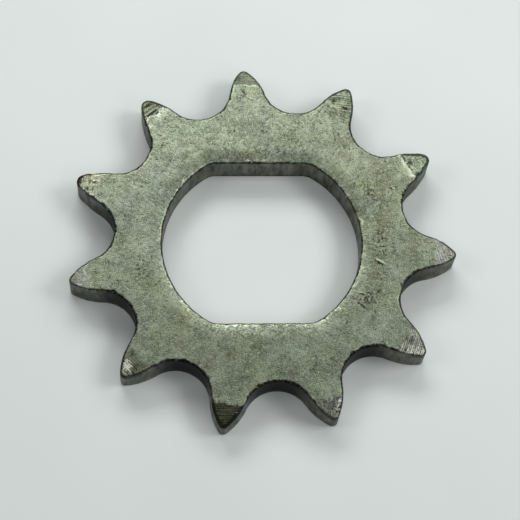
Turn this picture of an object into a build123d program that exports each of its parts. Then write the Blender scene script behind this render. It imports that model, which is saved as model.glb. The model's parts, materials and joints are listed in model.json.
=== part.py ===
# Plate sprocket for half-inch roller chain: eleven teeth and a double-D bore, punched from
# 4 mm steel plate in one piece. Millimetres, +Z up. The origin is on the bore axis in the face
# that the sprocket lies on, the bore flats run along X, and the rolled edges are uppermost.
import os
from math import acos, atan2, degrees, pi, sin

from build123d import *

# Teeth
chain_pitch = 12.7
tooth_count = 11
seat_radius = 4.2  # hollow between two teeth that holds a chain roller
flank_radius = 7.9  # bulging side of a tooth
tip_radius = 0.65
tip_height = 1.71  # from the pitch circle to the tip
first_tooth_angle = 94.1  # from +X, anticlockwise, to the tooth nearest +Y

# Plate
plate_thickness = 4.0
outline_roll = 0.5  # edge drawn down round the teeth where the punch came through

# Bore
bore_diameter = 24.7
across_flats = 21.4
bore_corner_radius = 2.5
bore_sink_width = 1.3  # shallow slope where the punch drew the face down round the bore
bore_sink_depth = 0.15
bore_roll = 0.5  # rounding between that slope and the wall

# Bevels ground by hand on the upper side of the tips, clockwise from the first tooth:
# length in from the tip, depth at the tip, and turn of the inner edge in degrees
tip_bevels = [
    (2.4, 0.75, -6),
    (3.2, 0.45, 3),
    (3.0, 0.45, -6),
    (2.6, 0.50, 4),
    (2.8, 0.60, 0),
    (2.5, 1.00, -6),
    (2.8, 1.25, 3),
    (2.9, 0.90, 0),
    (2.2, 0.35, 12),
    (2.2, 0.40, 8),
    (2.3, 0.50, -2),
]
bevel_half_width = 3.0  # a grinding cut is wider than the tooth
bevel_clearance = 2.0  # and runs out past the tip and above the face

pitch_angle = 360 / tooth_count
pitch_radius = chain_pitch / (2 * sin(pi / tooth_count))
tip_reach = pitch_radius + tip_height


def heading(start, end):
    """Angle from +X, 0 to 360 degrees, of the way from one point to another."""
    way = end - start
    return degrees(atan2(way.Y, way.X)) % 360


# One tooth pointing along +Y, and the roller seat to its right. The seat is centred on the
# pitch circle, and each flank arc touches the tip arc inside and the seat arc outside.
axis_point = Vector(0, 0)
tip_centre = Vector(0, tip_reach - tip_radius)
seat_centre = Vector(0, pitch_radius).rotate(Axis.Z, -pitch_angle / 2)
seat_way = seat_centre - tip_centre
flank_to_tip = flank_radius - tip_radius
flank_to_seat = flank_radius + seat_radius
flank_turn = degrees(
    acos(
        (flank_to_tip**2 + seat_way.length**2 - flank_to_seat**2)
        / (2 * flank_to_tip * seat_way.length)
    )
)
flank_centre = tip_centre + seat_way.normalized().rotate(Axis.Z, -flank_turn) * flank_to_tip
flank_foot = heading(flank_centre, seat_centre)
flank_top = heading(flank_centre, tip_centre)
seat_start = heading(seat_centre, flank_centre)
seat_middle = heading(seat_centre, axis_point)

with BuildLine() as tooth:
    CenterArc(tip_centre, tip_radius, flank_top, 180 - 2 * flank_top)
    flank = CenterArc(flank_centre, flank_radius, flank_foot, flank_top - flank_foot)
    mirror(flank, about=Plane.YZ)
    CenterArc(seat_centre, seat_radius, seat_start, 2 * (seat_middle - seat_start))

with BuildSketch() as toothed_outline:
    with BuildLine():
        with PolarLocations(0, tooth_count, start_angle=first_tooth_angle - 90):
            add(tooth.line)
    make_face()

with BuildSketch() as bore_outline:
    Circle(bore_diameter / 2)
    Rectangle(bore_diameter, across_flats, mode=Mode.INTERSECT)
    fillet(bore_outline.vertices(), bore_corner_radius)

with BuildPart() as sprocket:
    add(toothed_outline.sketch)
    extrude(amount=plate_thickness)
    fillet(sprocket.faces().sort_by(Axis.Z)[-1].outer_wire().edges(), outline_roll)

    # Bore, with its upper edge sunk and then rounded into the wall
    add(bore_outline.sketch)
    extrude(amount=plate_thickness, mode=Mode.SUBTRACT)
    upper_face = sprocket.faces().sort_by(Axis.Z)[-1]
    bore_rim = upper_face.inner_wires()[0].edges()
    chamfer(bore_rim, bore_sink_width, bore_sink_depth, reference=upper_face)
    sunk_level = plate_thickness - bore_sink_depth
    sunk_rim = sprocket.edges().filter_by_position(Axis.Z, sunk_level, sunk_level)
    fillet(sunk_rim, bore_roll)

    # Bevels on the tips
    for number in range(tooth_count):
        length, depth, turn = tip_bevels[number % len(tip_bevels)]
        tooth_angle = first_tooth_angle - number * pitch_angle
        start = Vector(tip_reach - length, 0).rotate(Axis.Z, tooth_angle)
        outward = Vector(1, 0).rotate(Axis.Z, tooth_angle + turn)
        run = length + bevel_clearance
        bevel_plane = Plane(
            origin=start + Vector(0, 0, plate_thickness),
            x_dir=outward,
            z_dir=outward.cross(Vector(0, 0, 1)),
        )
        with BuildSketch(bevel_plane):
            with BuildLine():
                Polyline(
                    (0, 0),
                    (run, -depth * run / length),
                    (run, bevel_clearance),
                    (0, bevel_clearance),
                    close=True,
                )
            make_face()
        extrude(amount=bevel_half_width, both=True, mode=Mode.SUBTRACT)

sprocket.part.label = "sprocket"
os.makedirs("parts", exist_ok=True)
export_step(sprocket.part, "parts/sprocket.step")
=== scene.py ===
# Chain sprocket punched from steel plate in one stroke, zinc plated and aged, its tooth tips ground
# by hand. Sizes are millimetres in the part's own frame, and the mesh is made metres at the end.
import json
from math import acos, atan2, cos, degrees, pi, radians, sin, sqrt

import bpy
import numpy as np
from mathutils import Matrix, Vector


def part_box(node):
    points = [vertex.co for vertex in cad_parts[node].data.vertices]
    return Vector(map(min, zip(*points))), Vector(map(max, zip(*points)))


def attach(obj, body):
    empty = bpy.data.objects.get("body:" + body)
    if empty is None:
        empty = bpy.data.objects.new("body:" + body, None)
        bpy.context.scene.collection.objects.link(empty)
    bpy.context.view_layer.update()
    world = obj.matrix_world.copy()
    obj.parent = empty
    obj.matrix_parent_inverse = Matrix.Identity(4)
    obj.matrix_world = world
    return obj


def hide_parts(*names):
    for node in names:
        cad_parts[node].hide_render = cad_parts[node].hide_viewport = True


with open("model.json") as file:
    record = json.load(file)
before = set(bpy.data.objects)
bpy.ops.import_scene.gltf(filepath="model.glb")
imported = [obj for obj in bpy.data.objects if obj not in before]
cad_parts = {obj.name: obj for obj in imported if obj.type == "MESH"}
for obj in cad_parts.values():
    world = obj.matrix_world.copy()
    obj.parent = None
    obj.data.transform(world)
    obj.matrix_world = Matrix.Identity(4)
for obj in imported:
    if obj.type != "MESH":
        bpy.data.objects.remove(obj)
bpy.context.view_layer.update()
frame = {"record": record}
mm = 0.001
low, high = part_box("sprocket")
mounts = {mount["name"]: mount for mount in frame["record"]["mounts"]}
print("frame loaded, plate", round((high.z - low.z) / mm, 3), "mm thick")

sprocket = {
    "toothCount": 11,
    "chainPitch": 12.7,
    "seatRadius": 4.2,  # hollow for a chain roller
    "flankRadius": 7.9,
    "tipRadius": 0.65,
    "tipHeight": 1.71,  # above the pitch circle
    "firstAngle": 94.1,  # from +X to the first tooth; the others are numbered clockwise from it
    "thickness": (high.z - low.z) / mm,
    "outlineRoll": 0.38,  # edge drawn down round the teeth
    "boreRadius": mounts["bore"]["dims"]["r_mm"],
    "flatAway": -mounts["bore_flat_front"]["pos_m"][1] / mm,
    "boreCorner": 2.5,
    "sinkWidth": 1.9,  # slope where the face was drawn down round the bore, steepest at the rim
    "sinkDepth": 0.18,
    "sinkPower": 1.5,  # it falls away from the face as the distance to this power
    "boreRoll": 0.4,
    "boreGlint": 1.0,  # painted glints, a broken bright line where the slope meets the roll
    "lowerBreak": 0.08,  # lower edges, no sharper than a fingertip finds them
    "rollUneven": 0.22,  # share by which both rolls swell and shrink along the edge
    "tipWall": 0.38,  # painted shade on the walls at the tips and in the bore, where the seats have 1
    "boreWall": 0.24,
    "seatFade": (18.6, 21.4),  # distances from the axis between which a seat's painted shade gives way
    "boreBrow": (0.22, 0.38, 0.5, 0.75),  # turn of a roll, as a share, where its dark brow starts, is full,
    "toothBrow": (0.08, 0.2, 0.42, 0.62),  # fades and has gone
    "boreFoot": (0.7, 0.15, 0.6),  # heights where the painted shade at the bore's foot starts and is full; its depth
    "rimFoot": (0.8, 0.3),  # the same below a bevel's rim, as distances down the wall
    "standFrom": 20.6,  # distance from the axis at which a tip starts to stand past or lean, and to widen
    "bluntFrom": 22.8,
    "bevelCrown": 0.02,  # drop of a bevel 1.5 mm to either side of its middle
    "crownFull": 0.6,  # distances from a bevel's inner edge at which its crown and its grooves are full
    "grooveFull": 0.25,
    "raggedReach": 0.3,  # how far from its inner edge a bevel follows the edge's wandering
    "bevelEase": 0.012,  # softness of the line where a bevel meets the face or the roll
    "burrReach": (0.26, 0.07),  # onto the face, and onto the bevel
    # Ground tips, one row a tooth: length of the bevel in from the tip, its depth at the tip, turn of its
    # inner edge; how far the tip stands past the others, leans over and is widened; turn, spacing and depth
    # of the grinding lines and how plain they are; how soft and ragged the bevel's inner edge is and how
    # pale its burr and painted highlight; contrast, width of the dark rim of painted shade, tint, which is
    # the ground metal's colour with painted reflection of what each tilted bevel faces
    "tipColumns": (
        "length", "depth", "turn", "past", "lean", "blunt", "lineTurn", "spacing", "groove", "lined", "soft",
        "ragged", "burr", "contrast", "rim", "tint",
    ),
    "tips": [
        (2.4, 0.75, -6, 0.00, -0.15, 0.0, 0, 0.30, 0.006, 0.60, 0.08, 0.05, 0.15, 1.5, 0.26, "767D6A"),
        (3.2, 0.45, 3, 0.12, -0.05, 0.0, 23, 0.34, 0.000, 0.50, 0.35, 0.10, 0.2, 1.8, 0.36, "859079"),
        (2.95, 0.45, -1, 0.20, 0.00, 0.2, 12, 0.50, 0.000, 0.20, 0.06, 0.10, 1.3, 1.4, 0.55, "939F88"),
        (2.6, 0.50, 4, 0.00, 0.00, 0.0, 20, 0.34, 0.000, 0.50, 0.20, 0.08, 0.0, 1.3, 0.30, "8E9186"),
        (2.8, 0.60, 0, 0.25, 0.00, 0.0, 17, 0.24, 0.000, 0.70, 0.55, 0.15, 0.0, 1.45, 0.24, "7A7D71"),
        (2.5, 1.00, -6, 0.00, 0.00, 0.0, 39, 0.30, 0.000, 0.10, 0.15, 0.12, 0.0, 1.7, 0.28, "75786D"),
        (2.8, 1.25, 3, 0.00, 0.00, 0.0, 11, 0.25, 0.009, 0.75, 0.25, 0.08, 0.2, 1.5, 0.50, "4F5042"),
        (2.9, 0.90, 0, 0.12, 0.00, 0.0, 1, 0.28, 0.008, 0.70, 0.45, 0.12, 0.0, 1.3, 0.34, "888D77"),
        (2.2, 0.35, 12, 0.00, 0.00, 0.0, 12, 0.50, 0.000, 0.15, 0.08, 0.08, 0.5, 1.15, 0.30, "A2A894"),
        (2.2, 0.40, 8, 0.25, 0.00, 0.3, -4, 0.40, 0.000, 0.15, 0.50, 0.20, 0.2, 1.7, 0.32, "A9AD92"),
        (2.3, 0.50, -2, 0.22, 0.00, 0.2, 2, 0.48, 0.008, 0.50, 0.06, 0.18, 0.35, 1.7, 0.38, "757A67"),
    ],
    # Painted glints where the wheel left the metal bare, then darker and lighter dabs on the tips and their
    # roots, some of them painted shade past a bevel's edge and on a steep nose: tooth, place across it and
    # out from the axis, reach each way, strength
    "glintSpots": [
        (4, 0.7, 23.1, 0.7, 1.0, 0.75), (4, 0.1, 24.0, 0.6, 0.5, 0.75), (5, -1.15, 22.5, 0.25, 0.6, 1.1),
        (5, -0.8, 23.4, 0.25, 0.5, 1.1), (5, -0.4, 24.0, 0.22, 0.3, 1.0), (5, -0.3, 23.3, 0.6, 0.8, 0.55),
        (6, -1.65, 21.5, 0.12, 0.5, 1.0), (6, -1.4, 22.3, 0.2, 0.3, 1.0), (7, 0.15, 23.2, 0.75, 0.8, 1.6),
        (7, 0.8, 22.6, 0.3, 0.35, 1.1), (8, 0.9, 22.4, 0.5, 0.2, 0.7), (8, -0.9, 23.1, 0.22, 0.55, 1.0),
        (9, 0.6, 22.8, 0.5, 0.6, 0.4), (3, 0.9, 22.4, 0.7, 0.6, 0.3),
    ],
    "dabs": [
        (0, -1.1, 22.6, 0.4, 0.9, -0.35), (0, -0.45, 20.8, 0.22, 0.5, -0.6), (0, 0.5, 20.9, 0.4, 0.3, 0.2),
        (1, 0.8, 21.5, 0.38, 0.13, -1.3), (1, -0.9, 21.7, 0.32, 0.25, -0.6),
        (1, -0.5, 20.7, 0.25, 0.2, -0.5), (1, 1.0, 22.5, 0.3, 1.0, -0.35),
        (2, -0.34, 21.9, 0.35, 0.3, -0.8), (2, 1.4, 21.9, 0.35, 0.25, -0.8),
        (2, -1.2, 21.5, 0.5, 0.14, -0.8), (2, 0.3, 21.5, 0.6, 0.12, -0.6), (2, 0.0, 20.9, 1.6, 0.4, 0.15),
        (4, -0.2, 22.2, 0.8, 0.8, -0.25), (7, -0.6, 22.4, 0.6, 0.9, -0.5), (7, 1.0, 21.5, 0.3, 0.3, -0.8),
        (9, 0.25, 22.2, 0.2, 0.2, -1.0), (9, -0.84, 22.9, 0.2, 0.2, -1.0), (9, 0.3, 22.9, 0.2, 0.15, -0.6),
        (9, -0.3, 24.3, 1.1, 0.35, -1.4),
        (10, 0.0, 23.7, 0.7, 0.16, -1.5), (10, -0.1, 22.4, 0.4, 0.14, -1.3),
        (10, -0.75, 22.35, 0.3, 0.12, -1.1), (10, 0.9, 23.0, 0.5, 0.3, -0.5), (10, 0.0, 21.4, 1.2, 0.5, 0.4),
        (6, 0.0, 23.8, 0.8, 0.6, -0.3), (8, -0.4, 22.6, 0.7, 0.6, 0.15),
    ],
    # Where the grinding lines fade, and pale broken edges of the zinc beside the rolls, partly painted
    # glints, the same way
    "plainSpots": [(7, -0.9, 21.9, 0.9, 1.1, 0.5), (7, 0.8, 21.3, 0.9, 0.6, 0.4)],
    "brokenEdgeGlints": [
        (10, -1.33, 21.9, 0.2, 0.5, 1.2), (10, -1.65, 21.0, 0.2, 0.35, 1.1),
        (10, -2.0, 20.2, 0.22, 0.3, 1.3), (9, -1.35, 21.4, 0.25, 0.3, 1.2),
        (9, -1.5, 20.9, 0.2, 0.3, 1.0), (9, -1.8, 20.2, 0.15, 0.2, 1.5),
    ],
}


def arcRun(centre, radius, start, end, steps, way):
    # points: centre plus radius times the unit way at each angle; way is 1 where material is inside
    angle = np.radians(start + (end - start) * np.arange(steps) / steps)
    out = np.stack([np.cos(angle), np.sin(angle)], 1)
    return np.array(centre) + radius * out, way * out


def toothOutline(s):
    # one pitch of the outline, anticlockwise, the tooth pointing along +Y: seat, flank, tip, flank.
    # A flank arc holds the tip arc inside it and touches the seat arc from outside, so its centre is
    # the third corner of a triangle whose three sides are known.
    half = 180 / s["toothCount"]
    pitchRadius = s["chainPitch"] / (2 * sin(radians(half)))
    tip = np.array([0, pitchRadius + s["tipHeight"] - s["tipRadius"]])
    seat = pitchRadius * np.array([sin(radians(half)), cos(radians(half))])
    toTip = s["flankRadius"] - s["tipRadius"]
    toSeat = s["flankRadius"] + s["seatRadius"]
    gap = np.linalg.norm(seat - tip)
    turn = acos((toTip**2 + gap**2 - toSeat**2) / (2 * toTip * gap))
    bearing = atan2(*(seat - tip)[::-1]) - turn
    flank = tip + toTip * np.array([cos(bearing), sin(bearing)])
    foot = degrees(atan2(*(seat - flank)[::-1]))
    top = degrees(atan2(*(tip - flank)[::-1]))
    seatEnd = foot + 180
    seatStart = 2 * (270 - half) - seatEnd
    runs = [
        arcRun(seat, s["seatRadius"], seatStart, seatEnd, 42, -1),
        arcRun(flank, s["flankRadius"], foot, top, 20, 1),
        arcRun(tip, s["tipRadius"], top, 180 - top, 12, 1),
        arcRun(flank * (-1, 1), s["flankRadius"], 180 - top, 180 - foot, 20, 1),
    ]
    points = np.concatenate([run[0] for run in runs])
    normals = np.concatenate([run[1] for run in runs])
    return points, normals, pitchRadius + s["tipHeight"]


def boreOutline(s, angle):
    # points of the double-D bore at those polar angles, and the unit way into the metal: the circle,
    # the flats, and corner arcs that touch both, folded into the first quarter and unfolded again
    radius, flat, corner = s["boreRadius"], s["flatAway"], s["boreCorner"]
    cornerY = flat - corner
    cornerX = sqrt((radius - corner) ** 2 - cornerY**2)
    way = np.stack([np.cos(angle), np.sin(angle)], 1)
    fold = np.where(way < 0, -1, 1)
    near = np.abs(way)
    bearing = np.arctan2(near[:, 1], near[:, 0])
    along = near @ (cornerX, cornerY)
    arcReach = along + np.sqrt(along**2 - (radius - corner) ** 2 + corner**2)
    onFlat = bearing > atan2(flat, cornerX)
    onArc = ~onFlat & (bearing > atan2(cornerY, cornerX))
    reach = np.where(onFlat, flat / near[:, 1], np.where(onArc, arcReach, radius))
    points = near * reach[:, None]
    arcWay = (points - (cornerX, cornerY)) / corner
    flatWay = np.broadcast_to((0.0, 1.0), near.shape)
    inward = np.where(onFlat[:, None], flatWay, np.where(onArc[:, None], arcWay, near))
    return points * fold, inward * fold


def waver(seed, along, shortest, longest, count):
    # an uneven line, about -1 to 1: a sum of sines whose wavelengths lie between shortest and longest
    # and divide the whole way round, so that the line closes on itself
    draw = np.random.default_rng(seed)
    whole = along[-1] + along[1] - along[0]
    turns = np.unique(np.round(whole / np.geomspace(longest, shortest, count)))
    phase = draw.uniform(0, 2 * np.pi, len(turns))
    height = draw.uniform(0.4, 1, len(turns))
    waves = np.sin(2 * np.pi * turns * along[:, None] / whole + phase)
    return waves @ height / np.sqrt((height**2).sum())


def smooth(start, end, value):
    # 0 before start, 1 past end, whichever is the larger, and 3x^2 - 2x^3 between, x being the share of
    # the way from start to end
    share = np.clip((value - start) / (end - start), 0, 1)
    return share * share * (3 - 2 * share)


def brow(down, start, full, fade, gone):
    # 0 before start, 1 from full to fade and 0 past gone, and smooth between
    return smooth(start, full, down) * smooth(gone, fade, down)


def softLower(first, second, blend):
    # the lower of two heights, the corner between them eased over about that blend
    least = np.minimum(first, second)
    return least - blend * np.log1p(np.exp(-np.abs(first - second) / blend))


def sprocketSurface(s):
    # A closed section carried once round the outline: up the bore wall, over its roll and slope, out
    # across the face and the ground bevel, over the outline roll, down the wall and back below.
    # Rings are lines round the part; a station is one place along the outline.
    tooth, toothWay, tipReach = toothOutline(s)
    count, perTooth = s["toothCount"], len(tooth)
    turned = np.radians(s["firstAngle"] - 90 + np.arange(count) * 360 / count)
    toothNumber = np.repeat(-np.arange(count) % count, perTooth)
    tip = {
        name: np.array([row[column] for row in s["tips"]])[toothNumber]
        for column, name in enumerate(s["tipColumns"][:-1])
    }
    length, depth = tip["length"], tip["depth"]

    # tips that stand past the others are drawn out along the tooth, leaning ones across it, and blunt ones
    # are widened
    local = np.tile(tooth, (count, 1))
    nearTip = smooth(s["standFrom"], tipReach, local[:, 1])
    local[:, 0] *= 1 + tip["blunt"] * smooth(s["bluntFrom"], tipReach, local[:, 1])
    local += nearTip[:, None] * np.stack([tip["lean"], tip["past"]], 1)
    localWay = np.tile(toothWay, (count, 1))
    spin = np.repeat(turned, perTooth)

    def toPart(xy):
        # turned from a tooth's own axes to the part's
        c = np.cos(spin).reshape(-1, *[1] * (xy.ndim - 2))
        n = np.sin(spin).reshape(-1, *[1] * (xy.ndim - 2))
        return np.stack([xy[..., 0] * c - xy[..., 1] * n, xy[..., 0] * n + xy[..., 1] * c], -1)

    def toTooth(xy):
        # and back again
        c, n = np.cos(spin)[:, None], np.sin(spin)[:, None]
        return np.stack([xy[..., 0] * c + xy[..., 1] * n, xy[..., 1] * c - xy[..., 0] * n], -1)

    rim, rimWay = toPart(local), toPart(localWay)
    step = np.linalg.norm(np.roll(rim, -1, 0) - rim, axis=1)
    along = np.cumsum(step) - step[0]
    roll = s["outlineRoll"] * (1 + s["rollUneven"] * waver(3, along, 0.7, 6, 16))
    inner = rim - rimWay * roll[:, None]
    even = rim - rimWay * s["outlineRoll"]
    bore, boreWay = boreOutline(s, np.arctan2(even[:, 1], even[:, 0]))
    boreStep = np.linalg.norm(np.roll(bore, -1, 0) - bore, axis=1)
    boreAlong = np.cumsum(boreStep) - boreStep[0]
    boreRoll = s["boreRoll"] * (1 + s["rollUneven"] * waver(5, boreAlong, 0.6, 4, 12))

    # bore section: how far into the metal, and height
    t, edge = s["thickness"], s["lowerBreak"]

    def sunk(inward):
        # the thickness less the depth times the share of the width still to go, to its power
        return t - s["sinkDepth"] * np.clip(1 - inward / s["sinkWidth"], 0, 1) ** s["sinkPower"]

    slope = atan2(s["sinkDepth"] * s["sinkPower"], s["sinkWidth"])
    rollCentre = sunk(boreRoll) - boreRoll / cos(slope)
    up = np.array([0.04, 0.12, 0.3, 0.6, 0.85, 1.0])
    quarter = np.radians([0, 45, 90])
    turnSteps = np.linspace(0, np.pi / 2 - slope, 7)[1:]
    slopeShare = np.linspace(0, 1, 5)[1:]
    ones = np.ones((len(rim), 1))
    boreIn = [ones * edge * (1 - np.sin(quarter)), np.zeros((len(rim), len(up)))]
    boreUp = [ones * edge * (1 - np.cos(quarter)), edge + (rollCentre[:, None] - edge) * up]
    boreIn += [boreRoll[:, None] * (1 - np.cos(turnSteps))]
    boreUp += [rollCentre[:, None] + boreRoll[:, None] * np.sin(turnSteps)]
    rollIn = boreIn[-1][:, -1:]
    boreIn += [rollIn + (s["sinkWidth"] - rollIn) * slopeShare]
    boreUp += [sunk(boreIn[-1])]
    boreIn, boreUp = np.concatenate(boreIn, 1), np.concatenate(boreUp, 1)
    boreXy = bore[:, None] + boreWay[:, None] * boreIn[..., None]
    wallRings = len(quarter) + len(up)
    rollRings = len(turnSteps)
    boreDown = np.zeros_like(boreIn)
    boreDown[:, :wallRings] = 1
    boreDown[:, wallRings : wallRings + rollRings] = 1 - np.arange(1, rollRings + 1) / rollRings
    # painted shade on the roll's brow and at the foot of the wall
    footStart, footFull, footDark = s["boreFoot"]
    boreShade = brow(boreDown, *s["boreBrow"])
    boreShade = np.maximum(boreShade, footDark * smooth(footStart, footFull, boreUp))

    # face: straight lines from the slope to the outline roll, with a ring along the bevel's inner edge
    start = boreXy[:, -1]
    across = inner - start
    reach = np.linalg.norm(across, axis=1)
    bevelTurn = np.radians(tip["turn"])
    bevelWay = np.stack([-np.sin(bevelTurn), np.cos(bevelTurn)], 1)
    bevelStart = np.stack([np.zeros_like(length), tipReach - length], 1)

    def bevelGap(xy):
        # how far past the bevel's inner edge, square to it
        return ((toTooth(xy) - bevelStart[:, None]) * bevelWay[:, None]).sum(-1)

    gapStart = bevelGap(start[:, None])[:, 0]
    gapEnd = bevelGap(inner[:, None])[:, 0]
    crossing = np.where(gapEnd > 0, -gapStart / np.maximum(gapEnd - gapStart, 1e-6), 1) * reach
    leastBevel, besideEdge = 0.6, 0.1
    crossing = np.minimum(crossing, reach - leastBevel)
    plainShare = np.linspace(0, 1, 33)[1:]
    bevelShare = np.linspace(0, 1, 25)
    plainReach = (crossing - besideEdge)[:, None] * plainShare
    bevelReach = crossing[:, None] + (reach - crossing)[:, None] * bevelShare
    faceShare = np.concatenate([plainReach, bevelReach], 1) / reach[:, None]
    faceXy = start[:, None] + across[:, None] * faceShare[..., None]
    faceUp = np.full(faceShare.shape, t)

    # outline roll, wall and lower face
    rollTurn = np.linspace(0, np.pi / 2, 9)[1:]
    rollXy = inner[:, None] + rimWay[:, None] * (roll[:, None] * np.sin(rollTurn))[..., None]
    rollHeight = t - roll[:, None] * (1 - np.cos(rollTurn))
    topXy = np.concatenate([faceXy, rollXy], 1)
    topUp = np.concatenate([faceUp, rollHeight], 1)
    topDown = np.concatenate([np.zeros_like(faceUp), ones * rollTurn / (np.pi / 2)], 1)

    # the bevel planes, with their crowns and grooves, cut the face and the roll away; their inner edges
    # wander, and the surface follows that only near them
    number = toothNumber[:, None]
    localTop = toTooth(topXy)
    acrossTop = localTop[..., 0]
    wander = np.sin(3.7 * acrossTop + 2 * number) + 0.6 * np.sin(9.1 * acrossTop + 5 * number)
    gap = bevelGap(topXy)
    raggedGap = gap + tip["ragged"][:, None] * wander
    gap = gap + (raggedGap - gap) * np.exp(-((gap / s["raggedReach"]) ** 2))
    fall = (depth / length)[:, None]
    lineWay = np.radians(tip["lineTurn"])[:, None]
    square = localTop[..., 1] * np.cos(lineWay) - acrossTop * np.sin(lineWay)
    beside = localTop[..., 1] * np.sin(lineWay) + acrossTop * np.cos(lineWay)
    stroke = square / tip["spacing"][:, None] + 0.12 * np.sin(1.9 * beside + number)
    grooves = tip["groove"][:, None] * (1 + np.sin(2 * np.pi * stroke)) * smooth(0, s["grooveFull"], gap)
    crown = s["bevelCrown"] * (acrossTop / 1.5) ** 2 * smooth(0, s["crownFull"], gap)
    bevelUp = t - gap * fall - crown - grooves
    onBevel = smooth(-0.03, 0.03, topUp - bevelUp)
    topUp = softLower(topUp, bevelUp, s["bevelEase"])
    topDown = topDown * (1 - onBevel)
    faceFromRim = reach[:, None] * (1 - faceShare) + roll[:, None]
    fromRim = np.concatenate([faceFromRim, roll[:, None] * (1 - np.sin(rollTurn))], 1)
    # painted shade on the roll's brow and along the rim of a bevel
    topShade = brow(topDown, *s["toothBrow"])
    rimWidth = tip["rim"][:, None]
    topShade = np.maximum(topShade, onBevel * smooth(rimWidth, 0.45 * rimWidth, fromRim))

    wallTop = topUp[:, -1:]
    downShare = np.array([0.02, 0.06, 0.12, 0.2, 0.4, 0.7, 1.0])
    wallUp = wallTop - (wallTop - edge) * downShare
    wallShade = onBevel[:, -1:] * smooth(*s["rimFoot"], wallTop - wallUp)
    breakIn = ones * edge * (1 - np.cos(quarter[1:]))
    breakUp = ones * edge * (1 - np.sin(quarter[1:]))
    wallXy = np.broadcast_to(rim[:, None], (*wallUp.shape, 2))
    breakXy = rim[:, None] - rimWay[:, None] * breakIn[..., None]
    lowStart, lowEnd = breakXy[:, -1], boreXy[:, 0]
    lowReach = np.linalg.norm(lowEnd - lowStart, axis=1)[:, None]
    besideBreak = 0.15
    lowDistance = besideBreak + (lowReach - 2 * besideBreak) * np.linspace(0, 1, 3)
    lowXy = lowStart[:, None] + (lowEnd - lowStart)[:, None] * (lowDistance / lowReach)[..., None]
    lowUp = np.zeros_like(lowDistance)

    xy = np.concatenate([boreXy, topXy, wallXy, breakXy, lowXy], 1)
    height = np.concatenate([boreUp, topUp, wallUp, breakUp, lowUp], 1)
    down = np.concatenate([boreDown, topDown, np.ones_like(wallUp), np.full_like(breakIn, 0.7), lowUp], 1)
    shade = np.concatenate([boreShade, topShade, wallShade, np.zeros_like(breakIn), lowUp], 1)

    def onTop(values):
        # values known on the face and roll only, and nothing everywhere else
        whole = np.zeros(height.shape)
        whole[:, boreIn.shape[1] : boreIn.shape[1] + topUp.shape[1]] = values
        return whole

    def dabbed(rows):
        # for each row, its strength times e to minus the square of the distance from its middle in shares
        # of its reaches, on its own tooth; the rows are added up
        total = 0
        for ofTooth, fromAxis, out, reachAcross, reachOut, strength in rows:
            away = ((acrossTop - fromAxis) / reachAcross) ** 2 + ((localTop[..., 1] - out) / reachOut) ** 2
            total = total + (number == ofTooth) * strength * np.exp(-away)
        return total

    # painted shade on the walls: full in the hollow seats, less at the tips and in the bore
    seat = 1 - (1 - s["tipWall"]) * smooth(*s["seatFade"], np.linalg.norm(xy, axis=-1))
    seat[:, : boreIn.shape[1]] = s["boreWall"]
    soft = tip["soft"][:, None]
    ground = smooth(-soft, soft, raggedGap)
    # pale burr and painted highlight along a bevel's inner edge, then broken edges with painted glints
    burrReach = np.where(raggedGap < 0, *s["burrReach"])
    burr = tip["burr"][:, None] * np.exp(-((raggedGap / burrReach) ** 2))
    burr = onTop((burr + dabbed(s["brokenEdgeGlints"])) * (1 - topShade))
    # painted glints along the bore's edge, where the slope meets the roll, in the same mask
    burr[:, wallRings + rollRings - 1] = np.clip(waver(7, boreAlong, 0.5, 5, 14), 0, 1) * s["boreGlint"]
    return {
        "points": np.concatenate([xy, height[..., None]], -1) * mm,
        "turnDown": down,
        "rimShade": shade,
        "seat": seat,
        "ground": onTop(ground),
        "bright": onTop(dabbed(s["glintSpots"]) * ground),
        "dab": onTop(dabbed(s["dabs"])),
        "burr": burr,
        "lined": tip["lined"][:, None] - onTop(dabbed(s["plainSpots"])),
        "contrast": np.broadcast_to(tip["contrast"][:, None], down.shape),
        "strokes": np.stack([onTop(stroke), onTop(beside), onTop(number * 3.7)], -1),
        "number": np.broadcast_to(number, down.shape),
    }


def linear(hexCode, alpha=1.0):
    # sRGB hex to linear: c/12.92 below 0.04045, else ((c + 0.055) / 1.055) to the power 2.4
    value = np.array([int(hexCode[i : i + 2], 16) / 255 for i in (0, 2, 4)])
    value = np.where(value <= 0.04045, value / 12.92, ((value + 0.055) / 1.055) ** 2.4)
    return (*value.tolist(), alpha)


def gridMesh(name, surface):
    # rings and stations both close on themselves, and each cell is one four-sided face
    stations, rings = surface["points"].shape[:2]
    index = np.arange(stations * rings).reshape(stations, rings)
    nextRing = np.roll(index, -1, 1)
    cells = np.stack([index, nextRing, np.roll(nextRing, -1, 0), np.roll(index, -1, 0)], -1).reshape(-1, 4)
    mesh = bpy.data.meshes.new(name)
    mesh.vertices.add(stations * rings)
    mesh.vertices.foreach_set("co", surface["points"].ravel())
    mesh.loops.add(cells.size)
    mesh.loops.foreach_set("vertex_index", cells.ravel())
    mesh.polygons.add(len(cells))
    mesh.polygons.foreach_set("loop_start", np.arange(0, cells.size, 4))
    mesh.update(calc_edges=True)
    mesh.validate()
    mesh.shade_smooth()
    piece = bpy.data.objects.new(name, mesh)
    bpy.context.scene.collection.objects.link(piece)
    return piece


def paint(mesh, name, kind, values):
    # one value a vertex, for a material to read by name
    field = {"FLOAT": "value", "FLOAT_VECTOR": "vector", "FLOAT_COLOR": "color"}[kind]
    layer = mesh.attributes.new(name, kind, "POINT")
    layer.data.foreach_set(field, np.ascontiguousarray(values, np.float32).ravel())


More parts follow.
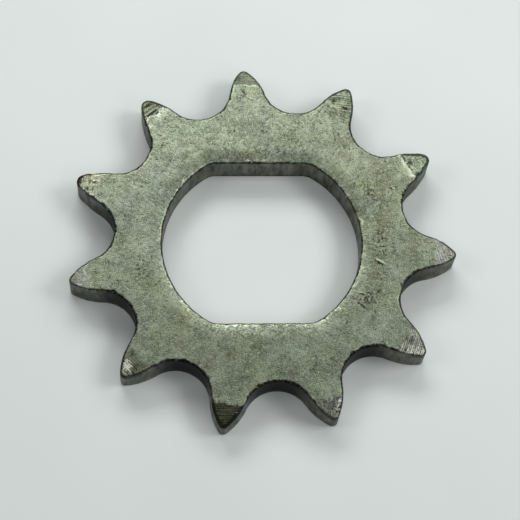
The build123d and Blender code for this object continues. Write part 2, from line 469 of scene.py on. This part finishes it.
def blots(rows, xy):
    # for each row, its strength times e to the minus square of the distance from its middle, measured
    # along its own turned axes in shares of its two reaches; the rows are added up
    total = 0
    for x, y, reachLong, reachShort, turn, strength in rows:
        c, n = cos(radians(turn)), sin(radians(turn))
        dx, dy = xy[..., 0] - x, xy[..., 1] - y
        long, short = (dx * c + dy * n) / reachLong, (dy * c - dx * n) / reachShort
        total = total + strength * np.exp(-(long**2) - short**2)
    return total


# Aged zinc on pickled steel plate: dull grey-green, close grain, dark pits. Its walls are bare sheared
# steel gone dark and smooth, with painted shade deepest in the seats and on the brows where the edge was
# drawn down; its tips show the wheel's lines, with painted glints and painted reflection in their tints.
# Pattern sizes are in mm. The zinc's own crystals are some hundredths, too fine to show at this size,
# and so are the wheel's scratches, so both are drawn as coarse as the smallest that can be seen.
finish = {
    "zincLight": "BECBAF",
    "zincDark": "545A4A",
    "zincBrown": "6C6850",
    "pit": "2E2E22",
    # painted shade on the rolls' brows, along the bevels' rims and at the foot of the bore wall
    "edgeShade": "1B1E19",
    "wallLight": "A3A79B",
    "wallDark": "42453D",
    # painted shade on the walls, deepest in the seats
    "seatShade": "1A1D18",
    # painted glints on the bare ground metal
    "bareMetalGlint": "E6E8D8",
    "rubbed": "D6DDC6",  # zinc rubbed pale, and the colour of the painted glints and highlights on edges
    "mottle": 2.6,  # the coarsest; the finer ones are halves of it
    "mottleTone": (-0.15, 1.15),  # where it is darkest and lightest; 0 is the dark zinc, 1 the light
    "grain": 0.16,
    "grainTone": (1.45, -0.72),  # what the grain adds to that: it times the first, and the second
    "pitSize": 0.3,
    "pitDark": 0.62,  # the pits, brown patches, scratches and specks at their plainest, 1 hiding the zinc
    "brownPatch": 2.2,
    "brownDark": 0.3,
    "scratch": 0.625,  # across; four times as long
    "scratchPale": 0.6,
    "speckPale": 0.5,
    "burrAndGlintTone": (5.0, -2.1),  # burrs and painted glints on edges are as pale as the tone times the first, and the second
    "fray": (0.5, 0.5, 0.0),  # how far the grain pushes the gouges' edges about
    "streak": 0.7143,  # on the walls, across; three times as long
    "drift": 3.0,  # patches of slightly different hue
    "hueReach": (0.17, 0.11, 0.36),  # how far each part of the colour drifts
    "warmth": (0.01, 0.0, -0.05),  # what a warm bloom adds to each part
    "relief": 0.016,
    "roughness": {"dark": 0.46, "light": 0.38, "ground": 0.5, "wall": 0.5},
    "glintMetallic": 0.4,  # metallic under the painted glints, where the wheel left a broken, glittering surface
    "paleSide": 0.7,  # the pale side of a mark, which is a gouge's lip and on the bore's edge a painted glint, and a gouge's dark floor, in half widths to its left
    "floorSide": -1.1,
    # Blots on the upper face, in mm: x, y, two reaches, turn, strength
    "stains": [
        (13.4, 7.0, 1.3, 0.5, -52, 0.85), (14.9, -0.3, 2.3, 0.8, 85, 0.8), (14.4, -7.4, 2.0, 1.0, 60, 0.5),
        (12.4, -7.9, 1.4, 0.6, 40, 1.1), (-12.4, 13.2, 0.5, 0.35, 30, 1.0), (-14.9, -3.4, 2.0, 0.9, 80, 0.4),
        (7.9, -16.2, 2.6, 1.2, 20, 0.3), (-2.2, 20.3, 0.8, 0.5, 60, 0.6), (10.9, 13.9, 2.2, 1.4, 0, 0.3),
        (0.5, 11.9, 5.5, 0.7, 0, 0.35), (14.5, -3.0, 0.7, 0.3, -33, 0.6),
    ],
    # lighter and darker patches of tone: painted light and shade that even out how the lamps fall on the
    # face
    "patches": [
        (-10.1, 13.6, 3.0, 2.5, 0, 0.06), (2.2, 15.1, 3.0, 2.0, 0, -0.05), (8.9, 13.2, 2.5, 2.5, 0, 0.07),
        (-13.6, -3.6, 2.0, 3.0, 0, 0.11), (-10.2, -11.0, 3.0, 2.5, 0, -0.06),
        (0.3, -15.8, 4.5, 2.0, 0, -0.08), (14.3, 4.6, 2.2, 2.4, 0, -0.14), (0, -11.7, 6.0, 0.9, 0, -0.08),
        (0, 11.8, 6.0, 0.9, 0, -0.08),
    ],
    # scratched wear; the scuff at the bore's upper flat is partly a painted glint
    "scuffs": [
        (-14.5, 4.1, 1.7, 0.8, 50, 1.0), (-2.0, 20.0, 1.3, 0.7, 20, 0.8), (-0.3, 11.6, 1.6, 0.2, 0, 1.2),
        (12.2, -8.0, 1.0, 0.6, 40, 0.7), (-13.0, 9.0, 2.0, 1.0, 30, 0.4), (4.5, -19.0, 1.5, 1.5, 0, 0.5),
    ],
    # Warmer, or cooler where the strength is below nothing
    "blooms": [
        (15.0, 6.0, 6.0, 8.0, 0, 1.0), (-13.0, -9.5, 4.0, 5.0, 0, 0.7), (-2.0, -14.5, 4.0, 3.0, 0, 0.5),
        (-14.0, 6.0, 6.0, 8.0, 0, -0.6), (14.0, -10.5, 4.0, 3.5, 0, -0.6), (8.0, -18.0, 4.0, 3.0, 0, -0.5),
    ],
    # Gouges: x, y, half length, half width, turn, strength of the lifted pale lip, of the dark floor; the
    # rows along the bore's edge with no floor are painted glints
    "gougesAndGlints": [
        (14.57, -2.77, 0.95, 0.16, -33, 0.8, 1.0), (12.15, -6.95, 0.6, 0.13, -16, 0.6, 0.8),
        (12.44, -8.65, 0.4, 0.16, -52, 0.0, 1.0), (16.56, 7.3, 0.4, 0.15, -41, 0.4, 1.0),
        (13.2, -7.6, 0.5, 0.12, 60, 0.4, 0.8), (-1.55, 11.03, 0.55, 0.14, 0, 1.1, 0.0),
        (-0.5, 11.05, 0.35, 0.11, 0, 0.7, 0.0), (0.6, 11.03, 0.6, 0.16, 0, 1.3, 0.0),
        (1.9, 11.05, 0.45, 0.11, 0, 0.6, 0.0), (-8.6, 9.2, 0.3, 0.13, 42, 0.9, 0.0),
    ],
}

surface = sprocketSurface(sprocket)
plate = gridMesh("sprocketPlate", surface)
spots = surface["points"] / mm
onUpper = spots[..., 2] > sprocket["thickness"] - 0.5
# the tips' dabs, and the patches of painted light and shade on the face
surface["dab"] = surface["dab"] + blots(finish["patches"], spots) * onUpper
surface["stain"] = blots(finish["stains"], spots) * onUpper
surface["scuff"] = blots(finish["scuffs"], spots) * onUpper
surface["warmth"] = blots(finish["blooms"], spots)
masks = (
    "turnDown", "rimShade", "seat", "ground", "bright", "dab", "burr", "lined", "contrast",
    "stain", "scuff", "warmth",
)
for name in masks:
    paint(plate.data, name, "FLOAT", surface[name])
paint(plate.data, "strokes", "FLOAT_VECTOR", surface["strokes"])
# tints of the ground tips: their metal's colour with painted reflection
tints = np.array([linear(row[-1]) for row in sprocket["tips"]])
paint(plate.data, "tipTint", "FLOAT_COLOR", tints[surface["number"]])
print("plate built,", 2 * len(plate.data.polygons), "triangles")


def addNode(tree, kind, settings=None, links=None, out=0):
    # adds a node, gives it settings by property, input name or input number, and joins links to its
    # inputs; returns the output asked for
    node = tree.nodes.new("ShaderNode" + kind)
    for key, value in (settings or {}).items():
        if isinstance(key, str) and key not in node.inputs:
            setattr(node, key, value)
        else:
            node.inputs[key].default_value = value
    for key, source in (links or {}).items():
        tree.links.new(source, node.inputs[key])
    return None if out is None else node.outputs[out]


def newMaterial(name):
    material = bpy.data.materials.new(name)
    material.use_nodes = True
    material.node_tree.nodes.clear()
    return material, material.node_tree


def gouge(tree, spot, x, y, halfLength, halfWidth, turn, beside):
    # 1 in the middle of a thin turned ellipse, less the distance from it in shares of its reaches, and
    # nothing outside; the ellipse lies that many of its half widths to the left of the mark's own line; the
    # marks are gouges and painted glints
    c, n = cos(radians(turn)), sin(radians(turn))
    place = {
        "vector_type": "TEXTURE",
        "Location": (x - n * halfWidth * beside, y + c * halfWidth * beside, sprocket["thickness"]),
        "Rotation": (0, 0, radians(turn)),
        "Scale": (halfLength, halfWidth, 1.0),
    }
    turned = addNode(tree, "Mapping", place, {0: spot})
    return addNode(tree, "TexGradient", {"gradient_type": "SPHERICAL"}, {0: turned}, 1)


def agedZincPlate(f):
    material, tree = newMaterial("agedZincPlate")
    metres = addNode(tree, "TexCoord", out="Object")
    spot = addNode(tree, "VectorMath", {"operation": "SCALE", "Scale": 1 / mm}, {0: metres})
    mask = {name: addNode(tree, "Attribute", {"attribute_name": name}, out="Fac") for name in masks}
    strokes = addNode(tree, "Attribute", {"attribute_name": "strokes"}, out="Vector")
    tipTint = addNode(tree, "Attribute", {"attribute_name": "tipTint"}, out="Color")
    clamped = {"operation": "MULTIPLY", "use_clamp": True}

    def layOver(under, name, share):
        # under times what the share leaves, plus the finish's colour of that name times the share
        return addNode(tree, "Mix", {"data_type": "RGBA", 7: linear(f[name])}, {0: share, 6: under}, 2)

    # zinc face: mottling of every size from a few millimetres down, close grain, dark pits
    mottleSize = {"Scale": 1 / f["mottle"], "Detail": 4.0, "Roughness": 1.0}
    mottle = addNode(tree, "TexNoise", mottleSize, {"Vector": spot})
    grainSize = {"Scale": 1 / f["grain"], "Detail": 1.0, "Roughness": 0.5}
    grain = addNode(tree, "TexNoise", grainSize, {"Vector": spot})
    grainWay = grain.node.outputs["Color"]
    darkest, lightest = f["mottleTone"]
    toTone = {"From Min": 0.2, "From Max": 0.8, "To Min": darkest, "To Max": lightest, "clamp": False}
    mottleTone = addNode(tree, "MapRange", toTone, {0: mottle})
    times, plus = f["grainTone"]
    tone = addNode(tree, "Math", {"operation": "MULTIPLY_ADD", 1: times, 2: plus}, {0: grain})
    tone = addNode(tree, "Math", {"operation": "ADD"}, {0: tone, 1: mottleTone})
    tone = addNode(tree, "Math", {"operation": "ADD"}, {0: tone, 1: mask["dab"]})
    zincColours = {"data_type": "RGBA", 6: linear(f["zincDark"]), 7: linear(f["zincLight"])}
    zinc = addNode(tree, "Mix", zincColours, {0: tone}, 2)
    brown = addNode(tree, "TexNoise", {"Scale": 1 / f["brownPatch"], "Detail": 2.0}, {"Vector": spot})
    toBrown = {"From Min": 0.45, "From Max": 0.75, "To Max": f["brownDark"]}
    brownShare = addNode(tree, "MapRange", toBrown, {0: brown})
    stained = {"operation": "MULTIPLY_ADD", 1: f["brownDark"]}
    brownShare = addNode(tree, "Math", stained, {0: mask["stain"], 2: brownShare})
    zinc = layOver(zinc, "zincBrown", brownShare)
    pitSize = {"Scale": 1 / f["pitSize"], "Detail": 2.0, "Roughness": 0.6}
    pits = addNode(tree, "TexNoise", pitSize, {"Vector": spot})
    pitDepth = addNode(tree, "Math", {"operation": "MULTIPLY_ADD", 1: 0.19}, {0: mask["stain"], 2: pits})
    toPits = {"From Min": 0.6, "From Max": 0.68, "To Max": f["pitDark"]}
    pitShare = addNode(tree, "MapRange", toPits, {0: pitDepth})
    scratchWay = addNode(tree, "Mapping", {"Rotation": (0, 0, 0.6), "Scale": (1.0, 4.0, 1.0)}, {0: spot})
    scratchSize = {"Scale": 1 / f["scratch"], "Detail": 2.0, "Distortion": 1.5}
    scratches = addNode(tree, "TexNoise", scratchSize, {"Vector": scratchWay})
    scuffed = {"operation": "MULTIPLY_ADD", 1: 0.22}
    scratchDepth = addNode(tree, "Math", scuffed, {0: mask["scuff"], 2: scratches})
    toScratches = {"From Min": 0.72, "From Max": 0.8, "To Max": f["scratchPale"]}
    scratchShare = addNode(tree, "MapRange", toScratches, {0: scratchDepth})
    specks = addNode(tree, "Math", {"operation": "ADD"}, {0: pits, 1: mask["turnDown"]})
    toSpecks = {"From Min": 0.4, "From Max": 0.33, "To Max": f["speckPale"]}
    speckShare = addNode(tree, "MapRange", toSpecks, {0: specks})
    times, plus = f["burrAndGlintTone"]
    burrShare = addNode(tree, "Math", {"operation": "MULTIPLY_ADD", 1: times, 2: plus}, {0: tone})
    burrShare = addNode(tree, "Math", clamped, {0: burrShare, 1: mask["burr"]})
    rubbed = addNode(tree, "Math", {"operation": "MAXIMUM"}, {0: scratchShare, 1: speckShare})
    pitDark = addNode(tree, "Math", {"operation": "MULTIPLY"}, {0: pitShare, 1: mask["stain"]})
    deepen = {"operation": "MULTIPLY_ADD", 1: 0.3, "use_clamp": True}
    pitShare = addNode(tree, "Math", deepen, {0: pitDark, 2: pitShare})

    # gouges: a pale lip on one side of each and its dark floor on the other, frayed by the grain; the lips
    # without a floor along the bore's edge are painted glints
    fray = addNode(tree, "VectorMath", {"operation": "SUBTRACT", 1: (0.5, 0.5, 0.5)}, {0: grainWay})
    pushed = {"operation": "MULTIPLY_ADD", 1: f["fray"]}
    frayed = addNode(tree, "VectorMath", pushed, {0: fray, 2: spot})
    gouged = {}
    for *placeAndSize, paleLip, darkFloor in f["gougesAndGlints"]:
        for side, strength in (("paleSide", paleLip), ("floorSide", darkFloor)):
            if not strength:
                continue
            mark = gouge(tree, frayed, *placeAndSize, f[side])
            toMark = {"From Min": 0.05, "From Max": 0.45, "To Max": strength}
            mark = addNode(tree, "MapRange", toMark, {0: mark})
            if side in gouged:
                mark = addNode(tree, "Math", {"operation": "MAXIMUM"}, {0: gouged[side], 1: mark})
            gouged[side] = mark

    # ground tips: the wheel's lines over the same grain, one line to a unit of strokes, each a little
    # broken, and painted glints where the metal was left bare
    strokeWay = addNode(tree, "VectorMath", {"operation": "MULTIPLY", 1: (1.0, 0.7, 1.0)}, {0: strokes})
    lines = addNode(tree, "TexNoise", {"Scale": 1.0, "Detail": 2.0, "Roughness": 0.6}, {"Vector": strokeWay})
    along = addNode(tree, "SeparateXYZ", {}, {0: strokes}, "X")
    wave = addNode(tree, "Math", {"operation": "MULTIPLY", 1: 2 * pi}, {0: along})
    wave = addNode(tree, "Math", {"operation": "SINE"}, {0: wave})
    lineTone = addNode(tree, "MapRange", {"From Min": 0.3, "From Max": 0.7}, {0: lines})
    lineTone = addNode(tree, "Math", {"operation": "MULTIPLY_ADD", 1: 0.3}, {0: wave, 2: lineTone})
    lineTone = addNode(tree, "Math", {"operation": "MULTIPLY_ADD", 1: 0.6}, {0: mask["dab"], 2: lineTone})
    tipTone = addNode(tree, "Mix", {"data_type": "FLOAT"}, {0: mask["lined"], 2: tone, 3: lineTone})
    tipTone = addNode(tree, "Math", {"operation": "MULTIPLY_ADD", 1: 0.7}, {0: grain, 2: tipTone})
    tipTone = addNode(tree, "Math", {"operation": "SUBTRACT", 1: 0.35}, {0: tipTone})
    tipShare = addNode(tree, "Math", {"operation": "SUBTRACT", 1: 0.5}, {0: tipTone})
    contrasted = {"operation": "MULTIPLY_ADD", 2: 1.0}
    tipShare = addNode(tree, "Math", contrasted, {0: tipShare, 1: mask["contrast"]})
    tipShare = addNode(tree, "Math", {"operation": "MAXIMUM", 1: 0.12}, {0: tipShare})
    tip = addNode(tree, "VectorMath", {"operation": "SCALE"}, {0: tipTint, "Scale": tipShare})
    # painted glints, broken into flecks by the grain
    flecks = addNode(tree, "Math", {"operation": "MULTIPLY_ADD", 1: 0.9, 2: -0.65}, {0: grain})
    flecks = addNode(tree, "Math", {"operation": "MULTIPLY_ADD", 1: 1.1}, {0: tipTone, 2: flecks})
    flecked = {"operation": "MULTIPLY_ADD", 1: 0.5}
    brightShare = addNode(tree, "Math", flecked, {0: mask["bright"], 2: flecks})
    brightShare = addNode(tree, "MapRange", {"From Min": 0.8, "From Max": 1.05}, {0: brightShare})
    brightShare = addNode(tree, "Math", clamped, {0: brightShare, 1: mask["bright"]})

    # sheared walls: streaked by the punch, blotched, with painted shade darkest in the seats and at the
    # drawn edge
    streakWay = addNode(tree, "VectorMath", {"operation": "MULTIPLY", 1: (1.0, 1.0, 0.3)}, {0: spot})
    streakSize = {"Scale": 1 / f["streak"], "Detail": 4.0, "Roughness": 0.6}
    streaks = addNode(tree, "TexNoise", streakSize, {"Vector": streakWay})
    streakRange = {"From Min": 0.3, "From Max": 0.7, "To Min": -0.2, "To Max": 0.8}
    streakTone = addNode(tree, "MapRange", streakRange, {0: streaks})
    grained = {"operation": "MULTIPLY_ADD", 1: 0.4, "use_clamp": True}
    streakTone = addNode(tree, "Math", grained, {0: tone, 2: streakTone})
    wallColours = {"data_type": "RGBA", 6: linear(f["wallDark"]), 7: linear(f["wallLight"])}
    wall = addNode(tree, "Mix", wallColours, {0: streakTone}, 2)
    wall = layOver(wall, "zincBrown", brownShare)
    # painted shade laid over the walls, deepest in the seats
    wall = layOver(wall, "seatShade", mask["seat"])
    ragged = addNode(tree, "Math", {"operation": "MULTIPLY_ADD", 1: 1.6, 2: -0.8}, {0: pits})
    wallEdge = addNode(tree, "Math", {"operation": "ADD"}, {0: mask["turnDown"], 1: ragged})
    wallShare = addNode(tree, "MapRange", {"From Min": 0.32, "From Max": 0.45}, {0: wallEdge})
    shadeEdge = addNode(tree, "Math", {"operation": "ADD"}, {0: mask["rimShade"], 1: ragged})
    toShade = {"From Min": 0.2, "From Max": 0.7, "To Max": 0.82}
    shadeShare = addNode(tree, "MapRange", toShade, {0: shadeEdge})

    # face, then the ground tips, then what lies over both, then the walls and the painted shade on their
    # brows
    zinc = layOver(zinc, "rubbed", rubbed)
    colour = addNode(tree, "Mix", {"data_type": "RGBA"}, {0: mask["ground"], 6: zinc, 7: tip}, 2)
    colour = layOver(colour, "pit", pitShare)
    colour = layOver(colour, "pit", gouged["floorSide"])
    colour = layOver(colour, "rubbed", gouged["paleSide"])
    colour = layOver(colour, "rubbed", burrShare)
    colour = layOver(colour, "bareMetalGlint", brightShare)
    colour = addNode(tree, "Mix", {"data_type": "RGBA"}, {0: wallShare, 6: colour, 7: wall}, 2)
    colour = layOver(colour, "edgeShade", shadeShare)

    # the hue drifts a little all over, each of its three parts by itself, and as the blooms say
    driftSize = {"Scale": 1 / f["drift"], "Detail": 3.0, "Roughness": 0.7}
    drift = addNode(tree, "TexNoise", driftSize, {"Vector": spot}, "Color")
    warm = addNode(tree, "VectorMath", {"operation": "SCALE", 0: f["warmth"]}, {"Scale": mask["warmth"]})
    warm = addNode(tree, "VectorMath", {"operation": "ADD", 1: (1.0, 1.0, 1.0)}, {0: warm})
    driftReach = addNode(tree, "MapRange", {"To Min": 1.0, "To Max": 2.2}, {0: wallShare})
    drift = addNode(tree, "VectorMath", {"operation": "SUBTRACT", 1: (0.5, 0.5, 0.5)}, {0: drift})
    drift = addNode(tree, "VectorMath", {"operation": "SCALE"}, {0: drift, "Scale": driftReach})
    tint = addNode(tree, "VectorMath", {"operation": "MULTIPLY_ADD", 1: f["hueReach"]}, {0: drift, 2: warm})
    colour = addNode(tree, "VectorMath", {"operation": "MULTIPLY"}, {0: colour, 1: tint})

    gloss = f["roughness"]
    rough = addNode(tree, "MapRange", {"To Min": gloss["dark"], "To Max": gloss["light"]}, {0: tone})
    rough = addNode(tree, "Mix", {"data_type": "FLOAT", 3: gloss["ground"]}, {0: mask["ground"], 2: rough})
    rough = addNode(tree, "Mix", {"data_type": "FLOAT", 3: gloss["wall"]}, {0: wallShare, 2: rough})
    metal = addNode(tree, "MapRange", {"To Min": 1.0, "To Max": f["glintMetallic"]}, {0: brightShare})

    relief = addNode(tree, "Math", {"operation": "SUBTRACT"}, {0: tone, 1: pitShare})
    tipRelief = addNode(tree, "Math", {"operation": "SUBTRACT"}, {0: tipTone, 1: pitShare})
    relief = addNode(tree, "Mix", {"data_type": "FLOAT"}, {0: mask["ground"], 2: relief, 3: tipRelief})
    relief = addNode(tree, "Mix", {"data_type": "FLOAT"}, {0: wallShare, 2: relief, 3: streakTone})
    bump = addNode(tree, "Bump", {"Distance": f["relief"] * mm, "Strength": 1.0}, {"Height": relief})
    joined = {"Base Color": colour, "Metallic": metal, "Roughness": rough, "Normal": bump}
    shader = addNode(tree, "BsdfPrincipled", {}, joined)
    addNode(tree, "OutputMaterial", {}, {"Surface": shader}, None)
    return material


plate.data.materials.append(agedZincPlate(finish))
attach(plate, "root")
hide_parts("sprocket")
print("plate finished")


# Matt white table board, faintly clouded, which keeps the part's shadow; sizes in mm
board = {
    "colour": "E9EFEB",
    "cloudColour": "E4EAE6",
    "cloud": 30,
    "halfSize": 2000,
    "below": 0.01,  # so that it doesn't touch the part
    "glow": 0.6,  # far from the lamps, where only a low view sees it, it shows as pale as near the part
    "glowFrom": 120,
    "glowFull": 450,
}


def tableBoard(b):
    material, tree = newMaterial("mattWhiteBoard")
    metres = addNode(tree, "TexCoord", out="Object")
    cloud = addNode(tree, "TexNoise", {"Scale": 1 / (b["cloud"] * mm), "Detail": 2.0}, {"Vector": metres})
    share = addNode(tree, "MapRange", {"From Min": 0.3, "From Max": 0.7}, {0: cloud})
    colours = {"data_type": "RGBA", 6: linear(b["cloudColour"]), 7: linear(b["colour"])}
    tone = addNode(tree, "Mix", colours, {0: share}, 2)
    seen = addNode(tree, "LightPath", out="Is Camera Ray")
    ways = seen.node.outputs
    for way in ("Is Glossy Ray", "Is Transmission Ray"):
        seen = addNode(tree, "Math", {"operation": "ADD", "use_clamp": True}, {0: seen, 1: ways[way]})
    away = addNode(tree, "VectorMath", {"operation": "LENGTH"}, {0: metres}, "Value")
    glowRange = {"From Min": b["glowFrom"] * mm, "From Max": b["glowFull"] * mm, "To Max": b["glow"]}
    glow = addNode(tree, "MapRange", glowRange, {0: away})
    glow = addNode(tree, "Math", {"operation": "MULTIPLY"}, {0: glow, 1: seen})
    shader = addNode(
        tree,
        "BsdfPrincipled",
        {"Roughness": 0.7, "Specular IOR Level": 0.3, "Emission Color": linear(b["colour"])},
        {"Base Color": tone, "Emission Strength": glow},
    )
    addNode(tree, "OutputMaterial", {}, {"Surface": shader}, None)
    half, height = b["halfSize"] * mm, low.z - b["below"] * mm
    corners = [(x, y, height) for x, y in ((-half, -half), (half, -half), (half, half), (-half, half))]
    mesh = bpy.data.meshes.new("tableBoard")
    mesh.from_pydata(corners, [], [(0, 1, 2, 3)])
    floor = bpy.data.objects.new("tableBoard", mesh)
    floor.data.materials.append(material)
    bpy.context.scene.collection.objects.link(floor)
    return floor


tableBoard(board)

# Soft white lamps, in mm and watts, all aimed at the part: two behind it, one on each side, two in front
lamps = {
    "behindLamp": {"at": (-40, 210, 185), "size": (220, 100), "power": 0.381},
    "behindRightLamp": {"at": (158, 158, 201), "size": (120, 120), "power": 0.116},
    "leftLamp": {"at": (-318, 0, 318), "size": (180, 180), "power": 0.247},
    "rightLamp": {"at": (318, 0, 318), "size": (180, 180), "power": 0.635},
    "frontRightLamp": {"at": (225, -225, 318), "size": (180, 180), "power": 0.152},
    "frontLamp": {"at": (0, -225, 390), "size": (180, 180), "power": 0.151},
}
for name, lamp in lamps.items():
    light = bpy.data.lights.new(name, "AREA")
    light.shape = "RECTANGLE"
    light.size, light.size_y = lamp["size"][0] * mm, lamp["size"][1] * mm
    light.energy = lamp["power"]
    holder = bpy.data.objects.new(name, light)
    holder.location = Vector(lamp["at"]) * mm
    holder.rotation_euler = (-holder.location).to_track_quat("-Z", "Y").to_euler()
    bpy.context.scene.collection.objects.link(holder)

room = {"colour": "DCE4F2", "strength": 0.1}
world = bpy.data.worlds.new("paleRoom")
world.use_nodes = True
background = world.node_tree.nodes["Background"].inputs
background["Color"].default_value = linear(room["colour"])
background["Strength"].default_value = room["strength"]
bpy.context.scene.world = world

# Camera: where it looks from and how it is rolled, in degrees and mm
shot = {
    "turn": -7.6894,  # from the front, towards the part's left
    "height": 67.4919,  # above the board
    "distance": 218.1734,
    "target": (-0.0767, -0.9017, 0.0),
    "roll": 7.0187,
    "lens": 120.05,
    "sensor": 36,
}
turn, height, roll = (radians(shot[key]) for key in ("turn", "height", "roll"))
back = Vector((sin(turn) * cos(height), -cos(turn) * cos(height), sin(height)))
level = (-back).cross(Vector((0, 0, 1))).normalized()
upright = level.cross(-back)
cameraX = cos(roll) * level + sin(roll) * upright
cameraY = cos(roll) * upright - sin(roll) * level
eye = (Vector(shot["target"]) + back * shot["distance"]) * mm
lens = bpy.data.cameras.new("camera")
lens.lens = shot["lens"]
lens.sensor_width = shot["sensor"]
lens.clip_start = 0.01
camera = bpy.data.objects.new("camera", lens)
camera.matrix_world = Matrix.Translation(eye) @ Matrix((cameraX, cameraY, back)).transposed().to_4x4()
bpy.context.scene.collection.objects.link(camera)
bpy.context.scene.camera = camera
bpy.context.scene.view_settings.view_transform = "Standard"
print("lamps and camera set")
